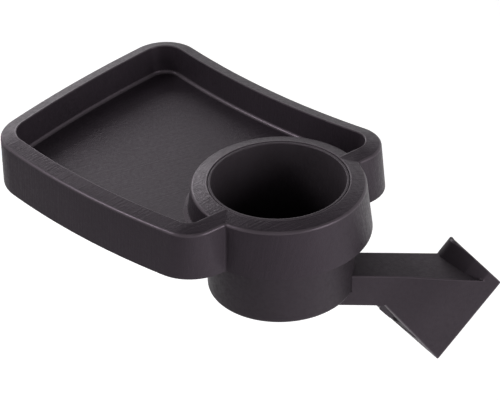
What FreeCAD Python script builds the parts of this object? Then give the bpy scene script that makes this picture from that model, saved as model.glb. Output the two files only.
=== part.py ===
import FreeCAD, Part
import math
import os
from FreeCAD import Placement, Rotation, Vector

# A snack tray with a cup holder. The tray turns about a cup socket, which an arm carries from a
# slanted saddle. The saddle snaps over an inclined frame tube, and a cam lever locks it.
# Millimetres and degrees, +Z up. The origin is on the swivel axis, at the top face of the socket's
# flange. +X runs along the arm to the saddle.

# Heights on the swivel axis
RIM_Z = 5.0            # highest edge of the rim and ring
BEVEL_DROP = 2.8       # the rim's bevel falls this far outwards
SKIRT_Z = -28.0        # lower edge of the tray's outer wall
DISH_Z = -14.5         # top of the dish floor
FLOOR = 2.6            # thickness of the dish floor
WALL = 2.5             # tray wall thickness

# Ring and collar, by radius
RING_IN_R = 42.0       # ring's inner edge
RING_OUT_R = 51.8      # outer edge of the ring's bevel
COLLAR_FOOT_R = 55.0   # collar's outer radius at SKIRT_Z
TOWER_FILLET = 3.0     # where the collar meets the dish floor
JOURNAL_R = 47.8       # collar's inner radius round the socket's flange
GROOVE_R = 49.1        # bottom of the snap ring's groove
GROOVE_TOP, GROOVE_BOTTOM = -5.5, -7.1

# Dish outline at RIM_Z, in the tray's own plan axes: u towards the cup, v towards the user
TRAY_TURN = -39.9      # angle of the u axis from +X
CORNERS = [(-160.6, -67.2), (-165.0, 72.6), (14.8, 71.4), (-6.6, -67.4)]
SAGS = [3.3, -7.94, 0.5, 6.05]            # bulge of the side that starts at each corner, inwards if negative
CORNER_RADII = [16.0, 13.5, 11.0, 9.0]
FOOT_ROUNDER = [6.0, 0.0, 0.0, 7.0]       # how much rounder each corner of the outer wall is at its foot
NO_ROUNDER = [0.0] * 4
BEVEL_WIDTH = 9.8      # plan width of the rim's bevel
OUTER_DRAFT = 2.2      # the outer wall stands this much further out at its foot
INNER_DRAFT = 1.5      # the dish is this much smaller at its floor
DISH_FILLET = 2.5
VALLEY_R = 1.8         # where the outer wall runs into the collar

# Swing of the tray, and the stops inside the collar
SWING = 110.0
STOP_RIB_ANGLE = 20.0  # middle of the socket's stop rib, from +X
STOP_RIB_HALF = 4.0    # half its width, in degrees
STOP_GAP = 0.4         # clearance left at each stop, in degrees
STOP_TOP, STOP_BOTTOM = -12.0, -20.0

# Cup socket and liner
SOCKET_IN_R = 41.95
SOCKET_OUT_R = 44.35
FLANGE_R = 47.5
FLANGE = 4.0
CUP_BOTTOM = -67.2
SOCKET_FLOOR = 3.0
LINER_IN_R = 40.0
LINER_OUT_R = 41.7
LINER_TOP = 4.5
LINER_BOTTOM = -59.0
LINER_FLOOR = 2.0
LINER_FILLET = 4.0
GRIP_LOW, GRIP_HIGH = -33.0, -31.2        # groove of the liner's grip ring

# Arm
ARM_HALF = 12.2        # half its width
ARM_TOP, ARM_BOTTOM = -55.4, -76.8
ARM_IN_X = -22.0       # rounded inner end, under the cup
ARM_WALL = 3.0
GUSSET_X = 40.0        # the gusset hangs below the arm past this
FLARE_W, FLARE_END_W = 85.4, 124.2        # the front face eases out to the saddle between these
SOCKET_SCREW_X = (-12.0, 6.0, 24.0)
COVER_SCREW_X = (-3.0, 38.0)
COVER_T = 2.4
COVER_GAP = 0.15
SCREW_R = 1.8
SCREW_HEAD_R = 3.4
SCREW_HEAD = 2.4

# Saddle: a U section pushed along the frame tube, which leans in the XZ plane
LEAN = 32.3            # tube's angle from the vertical
SADDLE_FRONT = -15.0   # outer face of the front wall
SADDLE_WALL = 4.0
# section corners as (w, y, radius): w is square to the tube, away from the arm
SADDLE_CORNERS = [(170.0, -15.0, 0.0), (130.5, -15.0, 4.0), (122.0, -8.0, 4.0), (100.5, 21.6, 9.0),
                  (170.0, 21.6, 0.0)]
FRONT_EDGE_W = 141.2   # free edge of the front wall
BACK_EDGE_W = 147.0    # free edge of the back wall
TOP_NORMAL = Vector(0.672, 0.414, 0.614)  # the saddle's upper end is cut on this slant
END_NORMAL = Vector(0.664, 0.534, 0.522)  # the lower end, and the gusset's mouth
BACK_NORMAL = Vector(0.649, 0.459, 0.607) # trims the back wall's lower end a little shorter
FRONT_TOP_A = 21.8     # where the slants cut the front wall's free edge, along the tube
FRONT_BOTTOM_A = -46.5
TUBE_R = 12.7
TUBE_W, TUBE_Y = 136.4, 3.3
LINER_LOW_A, LINER_HIGH_A = -46.0, -4.0   # span of the rubber liner along the tube

# Release lever: a cam lever in the gusset, drawn in the saddle's w and a
PIVOT_W, PIVOT_A = 103.0, -26.0
PIN_R = 2.0
LEVER_HALF = 4.0       # half its thickness across the arm
NOSE_W = 123.5         # the rubber nose just meets the tube
NOSE_PAD = 2.0
NOSE_LOW_A, NOSE_HIGH_A = -22.0, -16.0
WINDOW_LOW_A, WINDOW_HIGH_A = -24.5, -8.5
# side view as (w, a, radius): over the pivot, out to the nose, back to the pivot, down to the thumb tab
LEVER_CORNERS = [(97.0, -22.5, 4.0), (104.0, -19.0, 3.0), (112.0, -15.5, 4.0),
                 (NOSE_W - NOSE_PAD, NOSE_HIGH_A, 0.6), (NOSE_W - NOSE_PAD, NOSE_LOW_A, 0.6),
                 (113.0, -23.5, 3.0), (108.5, -29.0, 4.0), (105.0, -43.2, 1.2), (95.0, -40.8, 1.2),
                 (95.0, -37.6, 1.2), (98.5, -35.5, 2.0)]
TAB_WINDOW_LOW_W, TAB_WINDOW_HIGH_W = 93.8, 111.2
GUSSET_SCREW_W, GUSSET_SCREW_Y = 87.0, 4.8
GUSSET_SCREW_R = 1.2
GUSSET_HEAD_R = 2.6
GUSSET_LIFT = 0.4      # the gusset's cover sits this far inside its mouth
TONGUE_LIFT = 1.4      # and its tongue this far

LEAN_RAD = math.radians(LEAN)
W_DIR = Vector(math.cos(LEAN_RAD), 0, -math.sin(LEAN_RAD))
A_DIR = Vector(math.sin(LEAN_RAD), 0, math.cos(LEAN_RAD))
Y_DIR = Vector(0, 1, 0)
Z_DIR = Vector(0, 0, 1)
FAR = 260.0


# ---- small helpers ----

def ring(inner, outer, low, high):
    """A plain ring about Z, or a disc if inner is 0."""
    solid = Part.makeCylinder(outer, high - low, Vector(0, 0, low))
    if inner:
        solid = solid.cut(Part.makeCylinder(inner, high - low + 2, Vector(0, 0, low - 1)))
    return solid


def cone(low_r, high_r, low, high):
    return Part.makeCone(low_r, high_r, high - low, Vector(0, 0, low))


def turned(profile):
    """Turn a closed (radius, height) profile about Z."""
    points = [Vector(r, 0, z) for r, z in profile]
    face = Part.Face(Part.makePolygon(points + points[:1]))
    return face.revolve(Vector(0, 0, 0), Z_DIR, 360)


def sector(radius, low, high, start, span):
    """A pie slice about Z, from the angle start over span degrees."""
    slice_ = Part.makeCylinder(radius, high - low, Vector(0, 0, low), Z_DIR, span)
    slice_.rotate(Vector(0, 0, 0), Z_DIR, start)
    return slice_


def rounded_wire(corners, place):
    """A closed wire through (x, y, radius) corners, each rounded, mapped to space by place(x, y)."""
    edges, starts, ends, middles = [], [], [], []
    count = len(corners)
    for i, (x, y, radius) in enumerate(corners):
        here = Vector(x, y, 0)
        before = Vector(corners[i - 1][0], corners[i - 1][1], 0) - here
        after = Vector(corners[(i + 1) % count][0], corners[(i + 1) % count][1], 0) - here
        half = before.getAngle(after) / 2
        reach = radius / math.tan(half)
        bisector = (before.normalize() + after.normalize()).normalize()
        starts.append(here + before * reach)
        ends.append(here + after * reach)
        middles.append(here + bisector * (radius / math.sin(half) - radius))
    for i in range(count):
        if corners[i][2] > 0:
            arc = Part.Arc(*[place(p.x, p.y) for p in (starts[i], middles[i], ends[i])])
            edges.append(arc.toShape())
        following = starts[(i + 1) % count]
        edges.append(Part.makeLine(place(ends[i].x, ends[i].y), place(following.x, following.y)))
    return Part.Wire(edges)


def prism(corners, place, direction):
    """Push the rounded outline along direction."""
    return Part.Face(rounded_wire(corners, place)).extrude(direction)


def xz_prism(corners, low_y, high_y):
    return prism(corners, lambda x, z: Vector(x, low_y, z), Y_DIR * (high_y - low_y))


def saddle_point(w, y, a):
    return W_DIR * w + Y_DIR * y + A_DIR * a


def saddle_prism(corners, low_a, high_a):
    return prism(corners, lambda w, y: saddle_point(w, y, low_a), A_DIR * (high_a - low_a))


def saddle_box(w0, w1, y0, y1, a0, a1):
    return saddle_prism([(w0, y0, 0), (w1, y0, 0), (w1, y1, 0), (w0, y1, 0)], a0, a1)


def inset(corners, amount):
    """Move each side of a polygon inwards by amount. Corners run clockwise, and radii shrink with it."""
    count = len(corners)
    sides = []
    for i in range(count):
        x0, y0, _ = corners[i]
        x1, y1, _ = corners[(i + 1) % count]
        length = math.hypot(x1 - x0, y1 - y0)
        normal = ((y1 - y0) / length, -(x1 - x0) / length)
        sides.append((normal, normal[0] * x0 + normal[1] * y0 + amount))
    result = []
    for i in range(count):
        (ax, ay), reach_a = sides[i - 1]
        (bx, by), reach_b = sides[i]
        cross = ax * by - ay * bx
        radius = max(corners[i][2] - amount, 0.8) if corners[i][2] else 0
        result.append(((reach_a * by - reach_b * ay) / cross, (ax * reach_b - bx * reach_a) / cross, radius))
    return result


def half_space(point, normal):
    """Everything on the far side of a plane, along its normal, within reach of the part."""
    box = Part.makeBox(2 * FAR, 2 * FAR, 2 * FAR, Vector(-FAR, -FAR, 0))
    box.Placement = Placement(point, Rotation(Z_DIR, normal))
    return box


def screw_up(x, y, seat_z, length):
    """A pan-head screw whose head hangs below seat_z and whose shank points up."""
    head = ring(0, SCREW_HEAD_R, seat_z - SCREW_HEAD, seat_z)
    head = head.makeFillet(0.9, [e for e in head.Edges if abs(e.BoundBox.ZMax - seat_z + SCREW_HEAD) < 0.01
                                 and e.BoundBox.ZLength < 0.01 and e.BoundBox.XLength > SCREW_HEAD_R])
    slot = Part.makeBox(4.4, 0.9, 1.0, Vector(-2.2, -0.45, seat_z - SCREW_HEAD - 0.01))
    cross = slot.fuse(Part.makeBox(0.9, 4.4, 1.0, Vector(-0.45, -2.2, seat_z - SCREW_HEAD - 0.01)))
    screw = head.cut(cross).fuse(ring(0, SCREW_R, seat_z, seat_z + length))
    screw.translate(Vector(x, y, 0))
    return screw.removeSplitter()


def export(shape, node):
    shape = shape.removeSplitter() if len(shape.Solids) == 1 else shape
    shape.exportStep("parts/" + node + ".step")


# ---- tray ----

def side_circle(start, end, sag):
    """Centre and signed radius of a bulging side: positive if its centre is inside the outline."""
    chord = Vector(end[0] - start[0], end[1] - start[1], 0)
    outward = Vector(-chord.y, chord.x, 0).normalize()
    radius = (chord.Length ** 2 / 4 + sag ** 2) / (2 * sag)
    middle = Vector((start[0] + end[0]) / 2, (start[1] + end[1]) / 2, 0)
    return middle + outward * (sag - radius), radius


def meeting(first, second, near):
    """Where two circles, as (centre, radius), cross nearest to a point."""
    (c1, r1), (c2, r2) = first, second
    along = c2 - c1
    gap = along.Length
    along.normalize()
    reach = (r1 ** 2 - r2 ** 2 + gap ** 2) / (2 * gap)
    height = math.sqrt(r1 ** 2 - reach ** 2)
    square = Vector(-along.y, along.x, 0)
    options = [c1 + along * reach + square * height, c1 + along * reach - square * height]
    return min(options, key=lambda p: (p - near).Length)


def outline(offset, height, rounder=NO_ROUNDER):
    """The dish outline grown by offset, as a wire of side arcs and corner arcs.

    rounder makes each corner's arc that much larger."""
    count = len(CORNERS)
    sides = [side_circle(CORNERS[i], CORNERS[(i + 1) % count], SAGS[i]) for i in range(count)]
    radii = [radius + extra for radius, extra in zip(CORNER_RADII, rounder)]
    centres = []
    for i in range(count):
        reach = [(centre, abs(radius - radii[i])) for centre, radius in (sides[i - 1], sides[i])]
        centres.append(meeting(reach[0], reach[1], Vector(CORNERS[i][0], CORNERS[i][1], 0)))

    def touch(side, corner):
        """Where a side, grown by offset, touches a corner's arc."""
        centre, radius = sides[side]
        direction = (centres[corner] - centre).normalize() * (1 if radius > 0 else -1)
        return centres[corner] + direction * (radii[corner] + offset)

    turn = Rotation(Z_DIR, TRAY_TURN)
    raise_ = Vector(0, 0, height)
    edges = []
    for i in range(count):
        into, out_of = touch(i - 1, i), touch(i, i)
        outward = ((into + out_of) / 2 - centres[i]).normalize()
        corner_mid = centres[i] + outward * (radii[i] + offset)
        following = touch(i, (i + 1) % count)
        centre, radius = sides[i]
        bulge = ((out_of + following) / 2 - centre).normalize()
        side_mid = centre + bulge * abs(radius + offset)
        for arc in ((into, corner_mid, out_of), (out_of, side_mid, following)):
            edges.append(Part.Arc(*[turn.multVec(p) + raise_ for p in arc]).toShape())
    return Part.Wire(edges)


def drafted(low_offset, low, high_offset, high, rounder=NO_ROUNDER):
    """A block between two copies of the outline, the lower one with rounder corners."""
    return Part.makeLoft([outline(low_offset, low, rounder), outline(high_offset, high)], True, True)


def tray():
    bevel_z = RIM_Z - BEVEL_DROP
    foot_offset = BEVEL_WIDTH + OUTER_DRAFT
    collar = cone(COLLAR_FOOT_R, RING_OUT_R, SKIRT_Z, bevel_z)
    bevel_ring = cone(RING_OUT_R, RING_IN_R, bevel_z, RIM_Z)
    body = drafted(foot_offset, SKIRT_Z, BEVEL_WIDTH, bevel_z, FOOT_ROUNDER).fuse([collar])
    top = drafted(BEVEL_WIDTH, bevel_z, 0, RIM_Z).fuse([bevel_ring])
    # the dish, sunk round the ring and the tower below it
    dish = drafted(-INNER_DRAFT, DISH_Z, 0, RIM_Z)
    dish = dish.makeFillet(DISH_FILLET, [e for e in dish.Edges if abs(e.BoundBox.ZMax - DISH_Z) < 0.01])
    tower_r = COLLAR_FOOT_R + (RING_OUT_R - COLLAR_FOOT_R) * (DISH_Z - SKIRT_Z) / (bevel_z - SKIRT_Z)
    tower = turned([(0, DISH_Z - 1), (tower_r + TOWER_FILLET, DISH_Z - 1), (tower_r + TOWER_FILLET, DISH_Z),
                    (tower_r, DISH_Z + TOWER_FILLET), (RING_OUT_R, bevel_z), (RING_IN_R, RIM_Z), (0, RIM_Z)])
    foot = [e for e in tower.Edges if abs(e.BoundBox.ZMax - DISH_Z - TOWER_FILLET) < 0.01
            and e.BoundBox.ZLength < 0.01]
    tower = tower.makeFillet(TOWER_FILLET, foot)
    body = body.fuse([top]).cut(dish.cut(tower))
    # the hollow underside, between the outer wall, the dish and the collar
    under = drafted(foot_offset - WALL, SKIRT_Z - 1, BEVEL_WIDTH - WALL, bevel_z - WALL, FOOT_ROUNDER)
    kept = drafted(WALL - INNER_DRAFT, DISH_Z - FLOOR, WALL, RIM_Z)
    under = under.cut(kept).cut(cone(COLLAR_FOOT_R, RING_OUT_R, SKIRT_Z - 1, bevel_z))
    body = body.cut(under)
    # inside the ring: lip, journal round the flange, snap-ring groove, open collar
    bore = turned([(0, RIM_Z + 1), (RING_IN_R, RIM_Z + 1), (RING_IN_R, 1.0), (JOURNAL_R, 1.0),
                   (JOURNAL_R, GROOVE_TOP), (GROOVE_R, GROOVE_TOP), (GROOVE_R, GROOVE_BOTTOM),
                   (JOURNAL_R, GROOVE_BOTTOM), (JOURNAL_R, -10.0), (JOURNAL_R + 1.2, -12.0),
                   (COLLAR_FOOT_R - WALL, SKIRT_Z - 1), (0, SKIRT_Z - 1)])
    body = rounded_valleys(body.cut(bore))
    # the stop: a long rib inside the collar, with a window in which the socket's rib travels
    window = SWING + 2 * (STOP_RIB_HALF + STOP_GAP)
    start = STOP_RIB_ANGLE + STOP_RIB_HALF + STOP_GAP
    band = ring(45.2, 51.2, STOP_BOTTOM, STOP_TOP)
    stop = band.common(sector(60, STOP_BOTTOM, STOP_TOP, start, 360 - window))
    return body.fuse([stop])


def rounded_valleys(body):
    """Round the two upright valleys where the dish's outer wall runs into the collar."""
    body = body.removeSplitter()
    full_height = RIM_Z - BEVEL_DROP - SKIRT_Z
    valleys = [e for e in body.Edges if e.Curve.TypeId.endswith("BSplineCurve")
               and abs(e.BoundBox.ZMin - SKIRT_Z) < 0.1 and abs(e.BoundBox.ZLength - full_height) < 0.2]
    return body.makeFillet(VALLEY_R, valleys)


def swivel_washer():
    return ring(43.2, 47.3, 0.0, 0.95)


def wavy_loop(radius, middle, height, waves):
    """A closed wavy curve round Z."""
    steps = waves * 8
    points = [Vector(radius * math.cos(2 * math.pi * i / steps), radius * math.sin(2 * math.pi * i / steps),
                     middle + height * math.cos(2 * math.pi * i * waves / steps)) for i in range(steps)]
    curve = Part.BSplineCurve()
    curve.interpolate(points, PeriodicFlag=True)
    return curve.toShape()


def wave_spring():
    """A flat spring-steel ring with three waves, between the flange and the snap ring."""
    thickness, rise, waves = 0.4, 0.38, 3
    middle = (-FLANGE + GROOVE_TOP) / 2
    loops = [[wavy_loop(r, middle + side * thickness / 2, rise, waves) for side in (-1, 1)]
             for r in (44.9, 47.2)]
    (inner_low, inner_high), (outer_low, outer_high) = loops
    faces = [Part.makeRuledSurface(*pair) for pair in ((inner_low, outer_low), (inner_high, outer_high),
                                                       (inner_low, inner_high), (outer_low, outer_high))]
    shell = Part.Shell(faces)
    shell.sewShape()
    return Part.Solid(shell)


def retaining_ring():
    """A split ring sprung into the collar's groove, below the flange."""
    body = ring(45.1, GROOVE_R - 0.1, GROOVE_BOTTOM + 0.05, GROOVE_TOP - 0.05)
    gap = Part.makeBox(10, 5, 4, Vector(43, -2.5, -8.5))
    return body.cut(gap)


# ---- cup socket and liner ----

def cup_socket():
    inside_floor = CUP_BOTTOM + SOCKET_FLOOR
    body = turned([(0, CUP_BOTTOM), (SOCKET_OUT_R, CUP_BOTTOM), (SOCKET_OUT_R, -FLANGE), (FLANGE_R, -FLANGE),
                   (FLANGE_R, 0), (SOCKET_IN_R, 0), (SOCKET_IN_R, inside_floor), (0, inside_floor)])
    body = body.makeFillet(2.0, [e for e in body.Edges if abs(e.BoundBox.ZMax - CUP_BOTTOM) < 0.01
                                 and e.BoundBox.XLength > 80])
    rib = sector(JOURNAL_R - 0.2, STOP_BOTTOM + 1, STOP_TOP - 1, STOP_RIB_ANGLE - STOP_RIB_HALF,
                 2 * STOP_RIB_HALF)
    body = body.fuse([rib.cut(ring(0, SOCKET_OUT_R - 1, -FAR, FAR))])
    for x in SOCKET_SCREW_X:
        boss = Part.makeCylinder(4.0, 4.6, Vector(x, 0, inside_floor))
        hole = Part.makeCylinder(SCREW_R, 20, Vector(x, 0, CUP_BOTTOM - 1))
        hole = hole.common(half_space(Vector(0, 0, inside_floor + 3.8), Z_DIR * -1))
        body = body.fuse([boss]).cut(hole)
    return body


def cup_liner():
    """The lift-out inner cup."""
    body = ring(0, LINER_OUT_R, LINER_BOTTOM, LINER_TOP)
    body = body.makeFillet(LINER_FILLET + LINER_FLOOR, [e for e in body.Edges
                                                        if abs(e.BoundBox.ZMax - LINER_BOTTOM) < 0.01])
    floor = LINER_BOTTOM + LINER_FLOOR
    hollow = ring(0, LINER_IN_R, floor, LINER_TOP + 1)
    hollow = hollow.makeFillet(LINER_FILLET, [e for e in hollow.Edges if abs(e.BoundBox.ZMax - floor) < 0.01])
    body = body.cut(hollow)
    lip = [e for e in body.Edges if abs(e.BoundBox.ZMin - LINER_TOP) < 0.01]
    body = body.makeFillet(0.5, lip)
    groove = ring(LINER_OUT_R - 0.7, 60, GRIP_LOW, GRIP_HIGH)
    return body.cut(groove)


def liner_grip_ring():
    return ring(LINER_OUT_R - 0.7, SOCKET_IN_R - 0.04, GRIP_LOW, GRIP_HIGH)


def cup_base_pad():
    """A ribbed rubber disc that lies in the liner."""
    floor = LINER_BOTTOM + LINER_FLOOR
    pad = ring(0, LINER_IN_R - LINER_FILLET - 0.5, floor, floor + 1.6)
    for groove_r in range(8, 32, 6):
        pad = pad.cut(ring(groove_r, groove_r + 2, floor + 1.0, floor + 3))
    return pad


# ---- arm, gusset and saddle ----

def flare(wall):
    """The front face past the arm's straight part, which eases out to the saddle's front wall."""
    low_a, past_w = -160.0, 200.0
    points = [(FLARE_W, -ARM_HALF), ((FLARE_W + FLARE_END_W) / 2, (SADDLE_FRONT - ARM_HALF) / 2),
              (FLARE_END_W, SADDLE_FRONT)]
    curve = Part.BSplineCurve()
    curve.interpolate([saddle_point(w, y + wall, low_a) for w, y in points],
                      InitialTangent=W_DIR, FinalTangent=W_DIR)
    corners = [saddle_point(w, y, low_a)
               for w, y in ((FLARE_END_W, SADDLE_FRONT + wall), (past_w, SADDLE_FRONT + wall), (past_w, 0),
                            (FLARE_W, 0), (FLARE_W, wall - ARM_HALF))]
    sides = [Part.makeLine(*pair) for pair in zip(corners, corners[1:])]
    return Part.Face(Part.Wire([curve.toShape()] + sides)).extrude(A_DIR * 260)


def arm_plan(wall, end_x):
    """A slab of the arm's plan, inset by wall, from its rounded inner end to end_x."""
    half = ARM_HALF - wall
    middle_x = ARM_IN_X + ARM_HALF
    slab = Part.makeBox(end_x - middle_x, 2 * half, 120, Vector(middle_x, -half, -170))
    end = Part.makeCylinder(half, 120, Vector(middle_x, 0, -170))
    reach = Part.makeBox(end_x, 60, 120, Vector(0, -30, -170))
    return slab.fuse([end, flare(wall).common(reach)]).removeSplitter()


def end_plane_point(front_edge_a):
    return saddle_point(FRONT_EDGE_W, SADDLE_FRONT, front_edge_a)


def past_end(shift=0.0):
    """Everything past the saddle's lower end, or past a plane shift further in."""
    normal = Vector(END_NORMAL).normalize()
    return half_space(end_plane_point(FRONT_BOTTOM_A) + normal * shift, normal * -1)


def below_end_cut():
    trimmed = past_end().fuse([half_space(end_plane_point(FRONT_BOTTOM_A), BACK_NORMAL * -1)])
    return trimmed.common(half_space(Vector(0, 0, ARM_BOTTOM), Z_DIR * -1))


def arm_block(wall, top, bottom):
    """Arm and gusset as one block, inset by wall all round but the underside."""
    low = -150.0
    end_x = FRONT_EDGE_W * W_DIR.x + A_DIR.x * 60
    gusset = xz_prism([(ARM_IN_X - 1, top, 0), (end_x, top, 0), (end_x, low, 0), (GUSSET_X, low, 0),
                       (GUSSET_X, bottom, 0), (ARM_IN_X - 1, bottom, 0)], -40, 40)
    return gusset.common(arm_plan(wall, end_x))


def arm_bracket():
    outer_section = SADDLE_CORNERS
    inner_section = inset(SADDLE_CORNERS, SADDLE_WALL)
    filled = saddle_prism(outer_section, -110, 60)
    channel = saddle_prism(inner_section, -140, 90)
    past_front = saddle_box(FRONT_EDGE_W, 300, -60, TUBE_Y, -160, 120)
    past_back = saddle_box(BACK_EDGE_W, 300, -60, 60, -160, 120)
    past_block = saddle_box(FRONT_EDGE_W, 300, -60, 60, -160, 120)
    shell = filled.cut(channel).cut(past_front).cut(past_back)
    upper_end = half_space(end_plane_point(FRONT_TOP_A), TOP_NORMAL)
    shell = shell.cut(upper_end).cut(below_end_cut())
    block = arm_block(0, ARM_TOP, ARM_BOTTOM).cut(channel).cut(past_block).cut(upper_end).cut(below_end_cut())
    # right of the saddle's outer skin only the front wall is kept
    behind = filled.common(xz_prism([(0, 0, 0), (200, 0, 0), (200, -200, 0), (0, -200, 0)],
                                    SADDLE_FRONT + SADDLE_WALL, 60))
    body = block.cut(behind).fuse([shell])
    # hollow from below
    hollow = arm_block(ARM_WALL, ARM_TOP - ARM_WALL, -160).cut(filled)
    tongue = Part.makeCylinder(SOCKET_OUT_R + 0.1 + ARM_WALL, 60, Vector(0, 0, CUP_BOTTOM - ARM_WALL))
    body = body.cut(hollow.cut(tongue))
    # the seat under the cup
    body = body.cut(Part.makeCylinder(SOCKET_OUT_R + 0.05, 60, Vector(0, 0, CUP_BOTTOM)))
    for x in SOCKET_SCREW_X:
        body = body.cut(Part.makeCylinder(SCREW_R + 0.2, 30, Vector(x, 0, ARM_BOTTOM - 5)))
    for x in COVER_SCREW_X:
        body = body.fuse([cover_boss(x)])
    return with_lever_seat(body)


def cover_boss(x):
    low = ARM_BOTTOM + COVER_T
    boss = Part.makeCylinder(3.2, CUP_BOTTOM - ARM_WALL - low + 0.5, Vector(x, 0, low))
    return boss.cut(Part.makeCylinder(SCREW_R - 0.3, 5.2, Vector(x, 0, low)))


def with_lever_seat(body):
    """Add the pin's blind boss and hole and the cover's boss, and open the window for the lever's nose."""
    pivot = saddle_point(PIVOT_W, 0, PIVOT_A)
    boss = Part.makeCylinder(PIN_R + 2, ARM_HALF - LEVER_HALF - 1.1, pivot - Y_DIR * (ARM_HALF - 0.5), Y_DIR)
    hole = Part.makeCylinder(PIN_R, 30, pivot - Y_DIR * (ARM_HALF - 1.5), Y_DIR)
    cover_seat = gusset_screw_rod(GUSSET_SCREW_R + 1.8, COVER_T + COVER_GAP, 13).common(
        arm_block(0.5, ARM_TOP, ARM_BOTTOM))
    body = body.fuse([boss, cover_seat]).cut(hole).cut(gusset_screw_rod(GUSSET_SCREW_R, -1, 8.5))
    return body.cut(nose_window(PIVOT_W + 2, NOSE_W + 3)).cut(gusset_tongue(COVER_GAP))


def nose_window(low_w, high_w):
    half = LEVER_HALF + 0.6
    return saddle_box(low_w, high_w, -half, half, WINDOW_LOW_A, WINDOW_HIGH_A)


def arm_bottom_cover():
    slab = Part.makeBox(FAR, 60, COVER_T, Vector(ARM_IN_X, -30, ARM_BOTTOM))
    cover = arm_plan(ARM_WALL + COVER_GAP, FRONT_EDGE_W).common(slab).common(past_end(-COVER_GAP))
    for x in COVER_SCREW_X:
        cover = cover.cut(Part.makeCylinder(SCREW_R + 0.2, 10, Vector(x, 0, ARM_BOTTOM - 2)))
        cover = cover.cut(Part.makeCylinder(SCREW_HEAD_R + 0.2, 1.4, Vector(x, 0, ARM_BOTTOM - 0.01)))
    return cover


def gusset_tongue(grow):
    """The cover's lower end tucks into the saddle's wall."""
    slab = past_end(GUSSET_LIFT + COVER_T + grow).cut(past_end(TONGUE_LIFT - grow))
    return saddle_box(110, 116.5 + grow, -1 - grow, 4 + grow, -80, -30).common(slab)


def gusset_cover():
    """A plate across the gusset's slanted mouth, with a window for the lever's tab."""
    grown_saddle = saddle_prism(inset(SADDLE_CORNERS, -COVER_GAP), -110, 60)
    mouth = arm_block(ARM_WALL + COVER_GAP, ARM_BOTTOM + COVER_T, -160).cut(grown_saddle)
    mouth = mouth.cut(saddle_box(SADDLE_CORNERS[2][0], 300, -60, 60, -200, 60))
    plate = mouth.cut(past_end(GUSSET_LIFT)).common(past_end(GUSSET_LIFT + COVER_T)).fuse([gusset_tongue(0)])
    half = LEVER_HALF + 0.8
    plate = plate.cut(saddle_box(TAB_WINDOW_LOW_W, TAB_WINDOW_HIGH_W, -half, half, -80, 0))
    plate = plate.cut(gusset_screw_rod(GUSSET_SCREW_R + 0.2, -1, 10))
    return plate.cut(gusset_screw_rod(GUSSET_HEAD_R + 0.1, -1, 1.4))


def gusset_screw_rod(radius, low, high):
    """A rod on the gusset screw's axis, between two depths below the cover's outer face."""
    height = end_plane_point(FRONT_BOTTOM_A) - saddle_point(GUSSET_SCREW_W, GUSSET_SCREW_Y, 0)
    normal = Vector(END_NORMAL).normalize()
    seat = saddle_point(GUSSET_SCREW_W, GUSSET_SCREW_Y, normal.dot(height) / normal.dot(A_DIR))
    return Part.makeCylinder(radius, high - low, seat + normal * (GUSSET_LIFT + low), normal)


def gusset_cover_screw():
    head = gusset_screw_rod(GUSSET_HEAD_R, 0.05, 1.35).cut(gusset_screw_rod(1.0, 0, 0.8))
    return head.fuse(gusset_screw_rod(GUSSET_SCREW_R, 1.35, 8.0)).removeSplitter()


def cover_screws():
    """Flush heads in the cover, shanks in the bosses."""
    screws = []
    for x in COVER_SCREW_X:
        head = Part.makeCylinder(SCREW_HEAD_R, 1.3, Vector(x, 0, ARM_BOTTOM + 0.05))
        shank = Part.makeCylinder(SCREW_R - 0.3, 5.0, Vector(x, 0, ARM_BOTTOM + 1.35))
        slot = Part.makeBox(4.4, 0.9, 0.7, Vector(x - 2.2, -0.45, ARM_BOTTOM))
        screws.append(head.fuse(shank).cut(slot).removeSplitter())
    return Part.makeCompound(screws)


def socket_screws():
    seat = CUP_BOTTOM - ARM_WALL
    return Part.makeCompound([screw_up(x, 0, seat, ARM_WALL + SOCKET_FLOOR + 3.2) for x in SOCKET_SCREW_X])


def saddle_liner():
    """Rubber between the saddle and the tube, wrapped past the tube's middle so that it snaps on."""
    span = LINER_LOW_A, LINER_HIGH_A
    body = saddle_prism(inset(SADDLE_CORNERS, SADDLE_WALL), *span)
    body = body.cut(saddle_box(FRONT_EDGE_W - 0.5, 300, -60, TUBE_Y, span[0] - 1, span[1] + 1))
    body = body.cut(saddle_box(BACK_EDGE_W - 1, 300, -60, 60, span[0] - 1, span[1] + 1))
    tube = Part.makeCylinder(TUBE_R, 120, saddle_point(TUBE_W, TUBE_Y, -100), A_DIR)
    mouth = saddle_box(TUBE_W, 300, TUBE_Y - 11, TUBE_Y + 7, span[0] - 1, span[1] + 1)
    return body.cut(tube).cut(mouth).cut(nose_window(PIVOT_W, NOSE_W + 6))


# ---- release lever ----

def lever_prism(corners, half):
    place = lambda w, a: saddle_point(w, -half, a)
    return prism(corners, place, Y_DIR * (2 * half))


def release_lever():
    hole = Part.makeCylinder(PIN_R + 0.05, 20, saddle_point(PIVOT_W, -10, PIVOT_A), Y_DIR)
    return lever_prism(LEVER_CORNERS, LEVER_HALF).cut(hole)


def lever_pad():
    """The rubber nose that bears on the tube."""
    low_w, high_w = NOSE_W - NOSE_PAD, NOSE_W
    return lever_prism([(low_w, NOSE_LOW_A, 0), (high_w, NOSE_LOW_A, 0.8), (high_w, NOSE_HIGH_A, 0.8),
                        (low_w, NOSE_HIGH_A, 0)], LEVER_HALF)


def lever_pin():
    return Part.makeCylinder(PIN_R, 2 * ARM_HALF - 0.1, saddle_point(PIVOT_W, 0, PIVOT_A)
                             - Y_DIR * (ARM_HALF - 1.6), Y_DIR)


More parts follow.
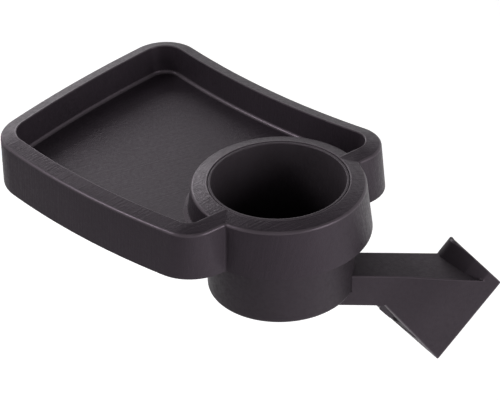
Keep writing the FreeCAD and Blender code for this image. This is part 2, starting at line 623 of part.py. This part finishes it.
def lever_pin_clip():
    """A domed push-on clip on the pin's back end."""
    seat = saddle_point(PIVOT_W, ARM_HALF, PIVOT_A)
    dome = Part.makeCone(3.4, 2.8, 0.7, seat + Y_DIR * 0.8, Y_DIR)
    clip = Part.makeCylinder(4.6, 0.8, seat, Y_DIR).fuse(dome)
    return clip.cut(Part.makeCylinder(PIN_R, 10, seat - Y_DIR, Y_DIR))


def lever_spring():
    """A torsion spring round the pin, with a leg up to the arm's roof and a leg down beside the tab."""
    wire_r, coil_r, turns = 0.4, 3.3, 3
    pitch = 2.2 * wire_r
    helix = Part.makeHelix(pitch, pitch * turns, coil_r)
    start = Vector(coil_r, 0, 0)
    end = Vector(coil_r, 0, pitch * turns)
    legs = [Part.makeLine(start - Y_DIR * 22, start), Part.makeLine(end, end + Y_DIR * 12)]
    solids = []
    for path, at in ((legs[0], start - Y_DIR * 22), (helix, start), (legs[1], end)):
        profile = Part.Wire(Part.makeCircle(wire_r, at, Y_DIR))
        solids.append(Part.Wire(path).makePipeShell([profile], True, True))
    spring = Part.makeCompound(solids)
    # the helix turns about Z, so it is laid over onto the pin's axis
    lay_over = Rotation(W_DIR, A_DIR * -1, Y_DIR, "ZXY")
    spring.Placement = Placement(saddle_point(PIVOT_W, LEVER_HALF + 1.2, PIVOT_A), lay_over)
    return spring


def main():
    os.makedirs("parts", exist_ok=True)
    for make in (tray, swivel_washer, wave_spring, retaining_ring, cup_socket, cup_liner, liner_grip_ring,
                 cup_base_pad, arm_bracket, arm_bottom_cover, cover_screws, gusset_cover, gusset_cover_screw,
                 socket_screws, saddle_liner, release_lever, lever_pad, lever_pin, lever_pin_clip,
                 lever_spring):
        export(make(), make.__name__)


main()
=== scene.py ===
import math

import bmesh
import bpy
from mathutils import Matrix, Vector


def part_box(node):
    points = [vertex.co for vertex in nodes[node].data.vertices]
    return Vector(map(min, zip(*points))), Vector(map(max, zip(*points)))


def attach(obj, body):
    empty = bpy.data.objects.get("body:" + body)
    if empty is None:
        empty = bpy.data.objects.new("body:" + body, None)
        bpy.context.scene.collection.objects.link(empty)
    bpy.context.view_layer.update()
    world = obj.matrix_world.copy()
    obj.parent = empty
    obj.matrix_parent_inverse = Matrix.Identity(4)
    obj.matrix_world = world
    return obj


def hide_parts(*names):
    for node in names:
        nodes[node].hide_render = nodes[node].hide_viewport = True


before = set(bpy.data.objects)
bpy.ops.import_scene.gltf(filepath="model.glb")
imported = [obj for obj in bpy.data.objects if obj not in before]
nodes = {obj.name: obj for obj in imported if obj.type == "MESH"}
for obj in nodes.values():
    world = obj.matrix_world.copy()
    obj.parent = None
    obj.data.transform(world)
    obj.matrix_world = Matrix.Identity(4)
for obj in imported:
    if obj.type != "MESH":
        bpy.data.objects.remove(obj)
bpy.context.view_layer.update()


# ---- materials ----

SHEEN_TINT = (1.0, 0.82, 0.99, 1)      # the plastic's gloss is a little warm and purple
# the moulded plastic's noises, as features per metre
MOTTLE_SCALE = 38
FINE_GRAIN_SCALE = 1300
COARSE_GRAIN_SCALE = 480
POLISH_SCALE = 420
POLISH_SPREAD = 0.09                    # how far the roughness wanders each way
# wipe marks: their length, width and height, the way they run, and their depth
STREAK_SIZE = (0.05, 0.0012, 0.02)
STREAK_TURN = math.radians(30)
STREAK_DEPTH = 0.0004
SCRATCH_SIZE = (0.017, 0.0011, 0.0011)  # of the metal's scratches
PAINTED_SHADE_KEEPS = 0.12                            # how much of its colour a material keeps at the bottom of its painted shade


def new_material(name, base, roughness, specular=0.5):
    """A Principled material and its shader."""
    material = bpy.data.materials.new(name)
    material.use_nodes = True
    shader = material.node_tree.nodes["Principled BSDF"]
    shader.inputs["Base Color"].default_value = (*base, 1)
    shader.inputs["Roughness"].default_value = roughness
    shader.inputs["Specular IOR Level"].default_value = specular
    shader.inputs["Specular Tint"].default_value = SHEEN_TINT
    return material, shader


def add(material, kind, **values):
    """A new node. Each value sets the input of that name, or else the node's own setting."""
    node = material.node_tree.nodes.new(kind)
    for key, value in values.items():
        if key in node.inputs:
            node.inputs[key].default_value = value
        else:
            setattr(node, key, value)
    return node


def link(material, source, target):
    material.node_tree.links.new(source, target)


def object_coords(material, scale=(1, 1, 1), turn=0.0):
    """Object coordinates, turned about Z by turn, then divided by scale."""
    coords = add(material, "ShaderNodeTexCoord")
    mapping = add(material, "ShaderNodeMapping")
    mapping.vector_type = "TEXTURE"
    mapping.inputs["Scale"].default_value = scale
    mapping.inputs["Rotation"].default_value = (0, 0, turn)
    link(material, coords.outputs["Object"], mapping.inputs["Vector"])
    return mapping.outputs["Vector"]


def noise(material, vector, scale, detail=3.0, rough=0.55):
    """A noise factor, about 0.3 to 0.7."""
    node = add(material, "ShaderNodeTexNoise")
    node.inputs["Scale"].default_value = scale
    node.inputs["Detail"].default_value = detail
    node.inputs["Roughness"].default_value = rough
    link(material, vector, node.inputs["Vector"])
    return node.outputs["Fac"]


def ramp(material, factor, stops):
    """Map a factor to colours: stops is a list of (position, colour)."""
    node = add(material, "ShaderNodeValToRGB")
    elements = node.color_ramp.elements
    while len(elements) < len(stops):
        elements.new(0.5)
    for element, (position, colour) in zip(elements, stops):
        element.position = position
        element.color = (*colour, 1)
    link(material, factor, node.inputs["Fac"])
    return node.outputs["Color"]


def span(material, factor, low, high, from_low=0.0, from_high=1.0):
    """Map a factor from one range to low and high."""
    node = add(material, "ShaderNodeMapRange")
    for name, value in (("From Min", from_low), ("From Max", from_high), ("To Min", low), ("To Max", high)):
        node.inputs[name].default_value = value
    link(material, factor, node.inputs["Value"])
    return node.outputs["Result"]


def bump(material, shader, heights):
    """Chain bumps, each (factor, strength, distance in metres), onto the shader's normal."""
    normal = None
    for factor, strength, distance in heights:
        node = add(material, "ShaderNodeBump")
        node.inputs["Strength"].default_value = strength
        node.inputs["Distance"].default_value = distance
        link(material, factor, node.inputs["Height"])
        if normal:
            link(material, normal, node.inputs["Normal"])
        normal = node.outputs["Normal"]
    link(material, normal, shader.inputs["Normal"])


def lighter(colour, factor):
    """The colour times factor, which may be under 1."""
    return tuple(min(1.0, c * factor) for c in colour)


def moulded_plastic(name, base, roughness, grain=0.00004, mottle=0.10, streaks=0.0, painted_shade_heights=None):
    """Matte moulded plastic: fine spark-eroded grain and faint mottling.

    Directional wipe marks if asked, and the last argument gives two heights between which it darkens
    downwards, as painted shade."""
    material, shader = new_material(name, base, roughness, 0.45)
    vector = object_coords(material)
    cloud = noise(material, vector, MOTTLE_SCALE, 4)
    colour = ramp(material, cloud, [(0.3, lighter(base, 1 - mottle)), (0.7, lighter(base, 1 + mottle))])
    # painted shade: the colour darkens downwards between the two heights
    if painted_shade_heights:
        axes = add(material, "ShaderNodeSeparateXYZ")
        link(material, vector, axes.inputs[0])
        darker = add(material, "ShaderNodeVectorMath", operation="SCALE")
        link(material, colour, darker.inputs[0])
        link(material, span(material, axes.outputs["Z"], PAINTED_SHADE_KEEPS, 1.0, *painted_shade_heights), darker.inputs["Scale"])
        colour = darker.outputs[0]
    link(material, colour, shader.inputs["Base Color"])
    fine = noise(material, vector, FINE_GRAIN_SCALE, 2, 0.6)
    medium = noise(material, vector, COARSE_GRAIN_SCALE, 3, 0.5)
    heights = [(fine, 0.5, grain), (medium, 0.35, grain * 1.6)]
    polish = noise(material, vector, POLISH_SCALE, 5, 0.6)
    rough = span(material, polish, roughness - POLISH_SPREAD, roughness + POLISH_SPREAD, 0.3, 0.7)
    if streaks:
        brushed = noise(material, object_coords(material, STREAK_SIZE, STREAK_TURN), 1.0)
        heights.append((brushed, streaks, STREAK_DEPTH))
    link(material, rough, shader.inputs["Roughness"])
    bump(material, shader, heights)
    return material


def rubber(name, base=(0.020, 0.019, 0.020)):
    """Dull soft rubber with a dusty bloom."""
    material, shader = new_material(name, base, 0.75, 0.3)
    vector = object_coords(material)
    link(material, ramp(material, noise(material, vector, 60, 3), [(0.3, base), (0.75, lighter(base, 1.35))]),
         shader.inputs["Base Color"])
    bump(material, shader, [(noise(material, vector, 1500, 2), 0.3, 0.00005)])
    bloom = noise(material, vector, 200, 3)
    link(material, span(material, bloom, 0.66, 0.84, 0.3, 0.7), shader.inputs["Roughness"])
    return material


def metal(name, base, roughness):
    """Metal drawn along X, with fine scratches."""
    material, shader = new_material(name, base, roughness)
    shader.inputs["Metallic"].default_value = 1.0
    lines = noise(material, object_coords(material, SCRATCH_SIZE), 1.0, 4, 0.6)
    link(material, ramp(material, lines, [(0.3, lighter(base, 0.82)), (0.7, lighter(base, 1.08))]),
         shader.inputs["Base Color"])
    rough = span(material, lines, roughness - 0.08, roughness + 0.12, 0.3, 0.7)
    link(material, rough, shader.inputs["Roughness"])
    bump(material, shader, [(lines, 0.15, 0.00002)])
    return material


body_plastic = moulded_plastic("body_plastic", (0.0155, 0.0118, 0.0153), 0.47, grain=0.0002, streaks=0.45)
arm_plastic = moulded_plastic("arm_plastic", (0.024, 0.0195, 0.0233), 0.54, grain=0.00012)
socket_plastic = moulded_plastic("socket_plastic", (0.0115, 0.0092, 0.0112), 0.54)
# painted highlight: a lighter colour on the rounded edges and the dish's foot fillet stands for their bright
# edge lines; the lower roughness makes them glossier
painted_edge_highlight = moulded_plastic("painted_edge_highlight", (0.055, 0.046, 0.053), 0.34, grain=0.00002)
# painted shade: the cup's inside darkens towards its bottom
liner_plastic = moulded_plastic("liner_plastic", (0.030, 0.025, 0.029), 0.55, painted_shade_heights=(-0.045, -0.010))
cover_plastic = moulded_plastic("cover_plastic", (0.010, 0.0085, 0.010), 0.70)
lever_plastic = moulded_plastic("lever_plastic", (0.045, 0.042, 0.045), 0.42)
washer_plastic = moulded_plastic("washer_plastic", (0.74, 0.73, 0.68), 0.40, mottle=0.04)
soft_rubber = rubber("soft_rubber")
spring_steel = metal("spring_steel", (0.42, 0.41, 0.40), 0.32)
plated_steel = metal("plated_steel", (0.62, 0.62, 0.60), 0.28)

FINISHES = {
    "tray": body_plastic, "arm_bracket": arm_plastic,
    "cup_socket": socket_plastic, "cup_liner": liner_plastic,
    "arm_bottom_cover": cover_plastic, "gusset_cover": cover_plastic, "release_lever": lever_plastic,
    "swivel_washer": washer_plastic, "saddle_liner": soft_rubber, "lever_pad": soft_rubber,
    "cup_base_pad": soft_rubber, "liner_grip_ring": soft_rubber, "wave_spring": spring_steel,
    "retaining_ring": spring_steel, "lever_spring": spring_steel, "lever_pin_clip": spring_steel,
    "lever_pin": plated_steel, "socket_screws": plated_steel, "cover_screws": plated_steel,
    "gusset_cover_screw": plated_steel,
}
for node_name, finish in FINISHES.items():
    for slot in nodes[node_name].material_slots:
        slot.material = finish


# ---- detailed copies of the CAD shells, with eased edges ----

SHARP_EDGE = math.radians(28)          # edges that turn further than this are rounded


def eased_copy(node, body, passes, painted_highlight_test):
    """A copy of a CAD node's mesh with its sharp edges rounded and given a lighter painted highlight. It
    stands for the node.

    Each pass is (chosen, width, clamp): chosen takes the middle of an edge and says whether to round it.
    The last argument takes a face's middle and normal and says whether it gets the painted highlight too, as
    the rounded edges do."""
    source = nodes[node]
    mesh = bpy.data.meshes.new(node + "_eased")
    bm = bmesh.new()
    bm.from_mesh(source.data)
    bmesh.ops.remove_doubles(bm, verts=bm.verts, dist=1e-6)
    bmesh.ops.dissolve_limit(bm, angle_limit=math.radians(0.4), verts=bm.verts, edges=bm.edges)
    for chosen, width, clamp in passes:
        sharp = [e for e in bm.edges if len(e.link_faces) == 2 and e.calc_face_angle(0) > SHARP_EDGE
                 and chosen((e.verts[0].co + e.verts[1].co) / 2)]
        # the new rounded faces take material 1, the painted highlight
        bmesh.ops.bevel(bm, geom=sharp, offset=width, offset_type="OFFSET", segments=3, profile=0.5,
                        affect="EDGES", clamp_overlap=clamp, loop_slide=True, material=1)
    bmesh.ops.triangulate(bm, faces=[f for f in bm.faces if len(f.verts) > 4])
    for face in bm.faces:
        face.smooth = True
        if painted_highlight_test(face.calc_center_median(), face.normal):
            face.material_index = 1
    bm.to_mesh(mesh)
    bm.free()
    mesh.set_sharp_from_angle(angle=math.radians(40))
    piece = bpy.data.objects.new(node + "_shell", mesh)
    bpy.context.collection.objects.link(piece)
    piece.data.materials.append(FINISHES[node])
    piece.data.materials.append(painted_edge_highlight)
    weighted = piece.modifiers.new("weighted", "WEIGHTED_NORMAL")
    weighted.keep_sharp = True
    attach(piece, body)
    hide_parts(node)


RIM_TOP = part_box("tray")[1][2]
BEVEL_FOOT = RIM_TOP - 0.0028          # the rim's bevel falls by this much
DISH_FLOOR = RIM_TOP - 0.0195          # the dish is this deep
FLANGE_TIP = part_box("arm_bracket")[1][2]
ARM_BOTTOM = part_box("arm_bottom_cover")[0][2]      # the cover is flush with the arm's lower edge


def on_rim_outside(point):
    """The outer edge of the rim's and the ring's bevel."""
    return abs(point.z - BEVEL_FOOT) < 0.0004


def on_rim_inside(point):
    return point.z > RIM_TOP - 0.0005


def on_front_outline(point):
    """The outline of the arm's front and the flange, without the cup's seam and the arm's lower edge."""
    on_front = point.y < -0.0118 and point.x > 0.045 and abs(point.z - ARM_BOTTOM) > 0.0005
    return on_front or point.z > -0.0545


def on_flange_tip(point):
    return point.z > FLANGE_TIP - 0.001


def anywhere(_point):
    return True


# the dish's foot fillet, which gets the painted highlight of a bright line
def in_dish_fillet(point, normal):
    return DISH_FLOOR + 0.0001 < point.z < DISH_FLOOR + 0.0027 and 0.2 < normal.z < 0.97


def nowhere(_point, _normal):
    return False


eased_copy("tray", "swing_tray",
           [(on_rim_outside, 0.0013, False), (on_rim_inside, 0.0009, False), (anywhere, 0.0007, True)],
           in_dish_fillet)
eased_copy("arm_bracket", "bracket",
           [(on_flange_tip, 0.0025, False), (on_front_outline, 0.0009, False), (anywhere, 0.0005, True)],
           nowhere)


# ---- floor, light and camera ----

FLOOR_Z = -0.75
FLOOR_SIZE = 30
PALE, SHADED = 0.9, 0.22               # the floor's levels under the object and out to the left, where the darker level is painted shade
bpy.ops.mesh.primitive_plane_add(size=FLOOR_SIZE, location=(0, 0, FLOOR_Z))
floor = bpy.context.object
floor.name = "floor"
white, floor_shader = new_material("floor_white", (PALE,) * 3, 0.9, 0.2)
# white under and behind the object, darker out to the left as painted shade that dims what the object
# reflects
spot = add(white, "ShaderNodeVectorMath", operation="DOT_PRODUCT")
spot.inputs[1].default_value = (1.0, 0.3, 0)
link(white, object_coords(white), spot.inputs[0])
nearness = span(white, spot.outputs["Value"], 0, 1, -1.4, -0.15)
floor_painted_shade_and_glow = ramp(white, nearness, [(0.0, (SHADED,) * 3), (1.0, (PALE,) * 3)])
link(white, floor_painted_shade_and_glow, floor_shader.inputs["Base Color"])
# the floor also glows in the same colours, painted light that keeps it pale
link(white, floor_painted_shade_and_glow, floor_shader.inputs["Emission Color"])
floor_shader.inputs["Emission Strength"].default_value = 0.5
floor.data.materials.append(white)

world = bpy.data.worlds.new("studio")
bpy.context.scene.world = world
world.use_nodes = True
sky = world.node_tree
direction = sky.nodes.new("ShaderNodeTexCoord")
split = sky.nodes.new("ShaderNodeSeparateXYZ")
shade = sky.nodes.new("ShaderNodeValToRGB")
sky.links.new(direction.outputs["Generated"], split.inputs[0])
sky.links.new(split.outputs["Z"], shade.inputs["Fac"])
sky.links.new(shade.outputs["Color"], sky.nodes["Background"].inputs["Color"])
# a little dimmer towards the front right
across = sky.nodes.new("ShaderNodeVectorMath")
across.operation = "DOT_PRODUCT"
across.inputs[1].default_value = (-0.5, 0.65, 0)
sky.links.new(direction.outputs["Generated"], across.inputs[0])
level_by_side = sky.nodes.new("ShaderNodeMapRange")
for socket, value in (("From Min", -1), ("From Max", 1), ("To Min", 0.45), ("To Max", 1.05)):
    level_by_side.inputs[socket].default_value = value
sky.links.new(across.outputs["Value"], level_by_side.inputs["Value"])
sky.links.new(level_by_side.outputs["Result"], sky.nodes["Background"].inputs["Strength"])
# bright low down, dim overhead
bands = [(0.0, 1.0), (0.45, 0.95), (0.60, 0.55), (0.72, 0.16), (1.0, 0.06)]
while len(shade.color_ramp.elements) < len(bands):
    shade.color_ramp.elements.new(0.5)
for element, (position, level) in zip(shade.color_ramp.elements, bands):
    element.position = position
    element.color = (level, level, level, 1)

LIT_POINT = Vector((-0.03, 0.03, -0.03))       # the lights point here, near the object's middle


def area_light(name, place, size, power):
    """A square soft light, size across, pointed at the object."""
    data = bpy.data.lights.new(name, "AREA")
    data.shape = "SQUARE"
    data.size = size
    data.energy = power
    lamp = bpy.data.objects.new(name, data)
    lamp.location = place
    lamp.rotation_mode = "QUATERNION"
    lamp.rotation_quaternion = (LIT_POINT - Vector(place)).to_track_quat("-Z", "Y")
    bpy.context.collection.objects.link(lamp)


area_light("key_back_left", (-0.9, 1.7, 0.9), 0.8, 9.5)
area_light("fill_back_right", (0.5, 1.7, 1.0), 0.8, 1.5)
area_light("fill_front_right", (1.5, -0.9, 0.45), 0.9, 15)
area_light("soft_front_high", (-0.15, -1.1, 1.7), 0.5, 1.5)
area_light("soft_left_high", (-1.6, -0.25, 1.2), 0.6, 15)

# the camera's axes come from its azimuth, elevation and roll, and its place from the ring
AZIMUTH, ELEVATION, ROLL = (math.radians(a) for a in (4.67, 33.776, -2.121))
LENS_MM, SENSOR_MM = 176.83, 36.0
DISTANCE = 1.4371
RING_TOP = Vector((0, 0, 0.005))
RING_SHIFT = (0.01668, 0.01217)      # where the ring's middle sits from the picture's centre, in metres
back = Vector((math.sin(AZIMUTH) * math.cos(ELEVATION), -math.cos(AZIMUTH) * math.cos(ELEVATION),
               math.sin(ELEVATION)))
level_right = Vector((math.cos(AZIMUTH), math.sin(AZIMUTH), 0))
level_up = back.cross(level_right)
right = level_right * math.cos(ROLL) + level_up * math.sin(ROLL)
up = level_up * math.cos(ROLL) - level_right * math.sin(ROLL)
place = RING_TOP + back * DISTANCE - right * RING_SHIFT[0] - up * RING_SHIFT[1]
camera_data = bpy.data.cameras.new("camera")
camera_data.lens, camera_data.sensor_width = LENS_MM, SENSOR_MM
camera_data.clip_start, camera_data.clip_end = 0.05, 60
camera = bpy.data.objects.new("camera", camera_data)
camera.matrix_world = Matrix.Translation(place) @ Matrix((right, up, back)).transposed().to_4x4()
bpy.context.collection.objects.link(camera)
bpy.context.scene.camera = camera
bpy.context.scene.view_settings.view_transform = "Standard"
